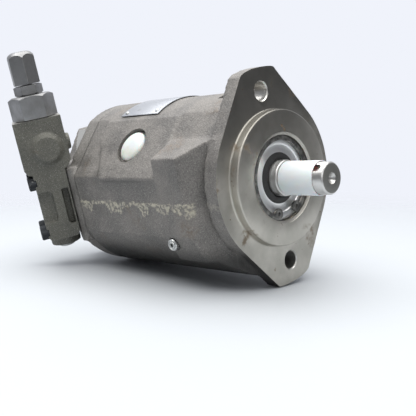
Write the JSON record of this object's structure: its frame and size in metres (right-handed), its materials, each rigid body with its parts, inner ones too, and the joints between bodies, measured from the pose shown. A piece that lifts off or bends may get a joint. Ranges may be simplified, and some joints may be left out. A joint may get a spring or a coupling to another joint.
{
  "type": "axial piston pump",
  "caption": "Variable-displacement axial piston pump with a two-bolt flange, keyed shaft in a transit sleeve and a side-mounted pressure control valve.",
  "frame": {"origin": "on the shaft axis, in the plane of the mounting flange's front face", "axes": "+X along the shaft towards the motor it couples to, +Z along the line of the two flange bolt holes, -Y towards the side that carries the control valve"},
  "size_m": [0.222, 0.1373, 0.1717],
  "materials": {
    "cast_case": "sand-cast grey iron, bare, with the flange machined",
    "cast_port_plate": "sand-cast iron, bare, with machined faces",
    "cast_valve": "fine cast iron, dark olive grey",
    "gasket": "thin black fibre gasket",
    "black_screw": "black-oxide screw steel, satin",
    "seal_rubber": "black nitrile rubber",
    "ring_steel": "phosphated spring steel",
    "bearing_steel": "ground bearing steel",
    "shaft_steel": "ground shaft steel",
    "white_plastic": "natural white polyethylene",
    "ground_steel": "ground and hardened steel",
    "bronze": "bearing bronze",
    "spring_steel": "oiled spring steel",
    "fitting_steel": "zinc-plated steel, satin",
    "plate_aluminium": "anodised aluminium sheet"
  },
  "bodies": {
    "case": {"pump_housing": "cast_case", "port_plate": "cast_port_plate", "port_plate_gasket": "gasket", "port_plate_screw_1": "black_screw", "port_plate_screw_2": "black_screw", "port_plate_screw_3": "black_screw", "port_plate_screw_4": "black_screw", "shaft_seal": "seal_rubber", "seal_retaining_ring": "ring_steel", "front_bearing_cup": "bearing_steel", "rear_bearing_cup": "bearing_steel", "distributor_plate": "bronze", "cradle_bearing_left": "bronze", "cradle_bearing_right": "bronze", "bias_spring": "spring_steel", "drain_plug": "white_plastic", "gauge_plug": "fitting_steel", "name_plate": "plate_aluminium", "valve_body": "cast_valve", "valve_screw_1": "black_screw", "valve_screw_2": "black_screw", "valve_screw_3": "black_screw", "valve_screw_4": "black_screw", "valve_end_plug": "fitting_steel", "valve_spring": "spring_steel", "adjuster_plug": "fitting_steel", "lock_nut": "fitting_steel", "cap_nut": "fitting_steel"},
    "rotating_group": {"drive_shaft": "shaft_steel", "shaft_sleeve": "white_plastic", "front_bearing_cone": "bearing_steel", "front_bearing_rollers": "bearing_steel", "rear_bearing_rollers": "bearing_steel", "cylinder_block": "ground_steel", "block_spring": "spring_steel", "retaining_ball": "ground_steel"},
    "swash": {"swashplate": "ground_steel"},
    "retainer": {"retainer_plate": "ground_steel"},
    "control": {"control_piston": "ground_steel"},
    "bias": {"bias_piston": "ground_steel"},
    "spool": {"valve_spool": "ground_steel"},
    "adjuster": {"adjusting_screw": "fitting_steel"},
    "slipper_body_1": {"slipper_1": "bronze"},
    "piston_body_1": {"piston_1": "ground_steel"},
    "slipper_body_2": {"slipper_2": "bronze"},
    "piston_body_2": {"piston_2": "ground_steel"},
    "slipper_body_3": {"slipper_3": "bronze"},
    "piston_body_3": {"piston_3": "ground_steel"},
    "slipper_body_4": {"slipper_4": "bronze"},
    "piston_body_4": {"piston_4": "ground_steel"},
    "slipper_body_5": {"slipper_5": "bronze"},
    "piston_body_5": {"piston_5": "ground_steel"},
    "slipper_body_6": {"slipper_6": "bronze"},
    "piston_body_6": {"piston_6": "ground_steel"},
    "slipper_body_7": {"slipper_7": "bronze"},
    "piston_body_7": {"piston_7": "ground_steel"},
    "slipper_body_8": {"slipper_8": "bronze"},
    "piston_body_8": {"piston_8": "ground_steel"},
    "slipper_body_9": {"slipper_9": "bronze"},
    "piston_body_9": {"piston_9": "ground_steel"}
  },
  "joints": [
    {"name": "shaft_turn", "type": "hinge", "parent": "case", "child": "rotating_group", "pos_m": [0, 0, 0], "axis": [1, 0, 0], "continuous": true},
    {"name": "swash_tilt", "type": "hinge", "parent": "case", "child": "swash", "pos_m": [-0.067, 0, 0], "axis": [0, 1, 0], "range_deg": [0, 15]},
    {"name": "retainer_turn", "type": "hinge", "parent": "swash", "child": "retainer", "pos_m": [-0.067, 0, 0], "axis": [1, 0, 0], "continuous": true},
    {"name": "control_stroke", "type": "slide", "parent": "case", "child": "control", "axis": [1, 0, 0], "range_m": [-0.013, 0]},
    {"name": "bias_stroke", "type": "slide", "parent": "case", "child": "bias", "axis": [1, 0, 0], "range_m": [0, 0.012], "deforming": ["bias_spring"]},
    {"name": "spool_slide", "type": "slide", "parent": "case", "child": "spool", "axis": [0, 0, 1], "range_m": [-0.002, 0.0015], "stiffness_N_per_m": 4000, "deforming": ["valve_spring"]},
    {"name": "pressure_adjustment", "type": "slide", "parent": "case", "child": "adjuster", "axis": [0, 0, 1], "range_m": [-0.003, 0.003]},
    {"name": "slipper_turn_1", "type": "hinge", "parent": "retainer", "child": "slipper_body_1", "pos_m": [-0.067, 0, 0.026], "axis": [1, 0, 0], "continuous": true},
    {"name": "piston_tilt_1", "type": "hinge", "parent": "slipper_body_1", "child": "piston_body_1", "pos_m": [-0.067, 0, 0.026], "axis": [0, 1, 0], "range_deg": [-15, 0]},
    {"name": "slipper_turn_2", "type": "hinge", "parent": "retainer", "child": "slipper_body_2", "pos_m": [-0.067, -0.01671, 0.01992], "axis": [1, 0, 0], "continuous": true},
    {"name": "piston_tilt_2", "type": "hinge", "parent": "slipper_body_2", "child": "piston_body_2", "pos_m": [-0.067, -0.01671, 0.01992], "axis": [0, 1, 0], "range_deg": [-15, 0]},
    {"name": "slipper_turn_3", "type": "hinge", "parent": "retainer", "child": "slipper_body_3", "pos_m": [-0.067, -0.0256, 0.00451], "axis": [1, 0, 0], "continuous": true},
    {"name": "piston_tilt_3", "type": "hinge", "parent": "slipper_body_3", "child": "piston_body_3", "pos_m": [-0.067, -0.0256, 0.00451], "axis": [0, 1, 0], "range_deg": [-15, 0]},
    {"name": "slipper_turn_4", "type": "hinge", "parent": "retainer", "child": "slipper_body_4", "pos_m": [-0.067, -0.02252, -0.013], "axis": [1, 0, 0], "continuous": true},
    {"name": "piston_tilt_4", "type": "hinge", "parent": "slipper_body_4", "child": "piston_body_4", "pos_m": [-0.067, -0.02252, -0.013], "axis": [0, 1, 0], "range_deg": [-15, 0]},
    {"name": "slipper_turn_5", "type": "hinge", "parent": "retainer", "child": "slipper_body_5", "pos_m": [-0.067, -0.00889, -0.02443], "axis": [1, 0, 0], "continuous": true},
    {"name": "piston_tilt_5", "type": "hinge", "parent": "slipper_body_5", "child": "piston_body_5", "pos_m": [-0.067, -0.00889, -0.02443], "axis": [0, 1, 0], "range_deg": [-15, 0]},
    {"name": "slipper_turn_6", "type": "hinge", "parent": "retainer", "child": "slipper_body_6", "pos_m": [-0.067, 0.00889, -0.02443], "axis": [1, 0, 0], "continuous": true},
    {"name": "piston_tilt_6", "type": "hinge", "parent": "slipper_body_6", "child": "piston_body_6", "pos_m": [-0.067, 0.00889, -0.02443], "axis": [0, 1, 0], "range_deg": [-15, 0]},
    {"name": "slipper_turn_7", "type": "hinge", "parent": "retainer", "child": "slipper_body_7", "pos_m": [-0.067, 0.02252, -0.013], "axis": [1, 0, 0], "continuous": true},
    {"name": "piston_tilt_7", "type": "hinge", "parent": "slipper_body_7", "child": "piston_body_7", "pos_m": [-0.067, 0.02252, -0.013], "axis": [0, 1, 0], "range_deg": [-15, 0]},
    {"name": "slipper_turn_8", "type": "hinge", "parent": "retainer", "child": "slipper_body_8", "pos_m": [-0.067, 0.0256, 0.00451], "axis": [1, 0, 0], "continuous": true},
    {"name": "piston_tilt_8", "type": "hinge", "parent": "slipper_body_8", "child": "piston_body_8", "pos_m": [-0.067, 0.0256, 0.00451], "axis": [0, 1, 0], "range_deg": [-15, 0]},
    {"name": "slipper_turn_9", "type": "hinge", "parent": "retainer", "child": "slipper_body_9", "pos_m": [-0.067, 0.01671, 0.01992], "axis": [1, 0, 0], "continuous": true},
    {"name": "piston_tilt_9", "type": "hinge", "parent": "slipper_body_9", "child": "piston_body_9", "pos_m": [-0.067, 0.01671, 0.01992], "axis": [0, 1, 0], "range_deg": [-15, 0]}
  ],
  "couplings": [
    {"joint": "retainer_turn", "follows": "shaft_turn", "ratio": 1},
    {"joint": "control_stroke", "follows": "swash_tilt", "m_per_rad": -0.048},
    {"joint": "bias_stroke", "follows": "swash_tilt", "m_per_rad": 0.044},
    {"joint": "slipper_turn_1", "follows": "shaft_turn", "ratio": -1},
    {"joint": "piston_tilt_1", "follows": "swash_tilt", "ratio": -1},
    {"joint": "slipper_turn_2", "follows": "shaft_turn", "ratio": -1},
    {"joint": "piston_tilt_2", "follows": "swash_tilt", "ratio": -1},
    {"joint": "slipper_turn_3", "follows": "shaft_turn", "ratio": -1},
    {"joint": "piston_tilt_3", "follows": "swash_tilt", "ratio": -1},
    {"joint": "slipper_turn_4", "follows": "shaft_turn", "ratio": -1},
    {"joint": "piston_tilt_4", "follows": "swash_tilt", "ratio": -1},
    {"joint": "slipper_turn_5", "follows": "shaft_turn", "ratio": -1},
    {"joint": "piston_tilt_5", "follows": "swash_tilt", "ratio": -1},
    {"joint": "slipper_turn_6", "follows": "shaft_turn", "ratio": -1},
    {"joint": "piston_tilt_6", "follows": "swash_tilt", "ratio": -1},
    {"joint": "slipper_turn_7", "follows": "shaft_turn", "ratio": -1},
    {"joint": "piston_tilt_7", "follows": "swash_tilt", "ratio": -1},
    {"joint": "slipper_turn_8", "follows": "shaft_turn", "ratio": -1},
    {"joint": "piston_tilt_8", "follows": "swash_tilt", "ratio": -1},
    {"joint": "slipper_turn_9", "follows": "shaft_turn", "ratio": -1},
    {"joint": "piston_tilt_9", "follows": "swash_tilt", "ratio": -1}
  ]
}
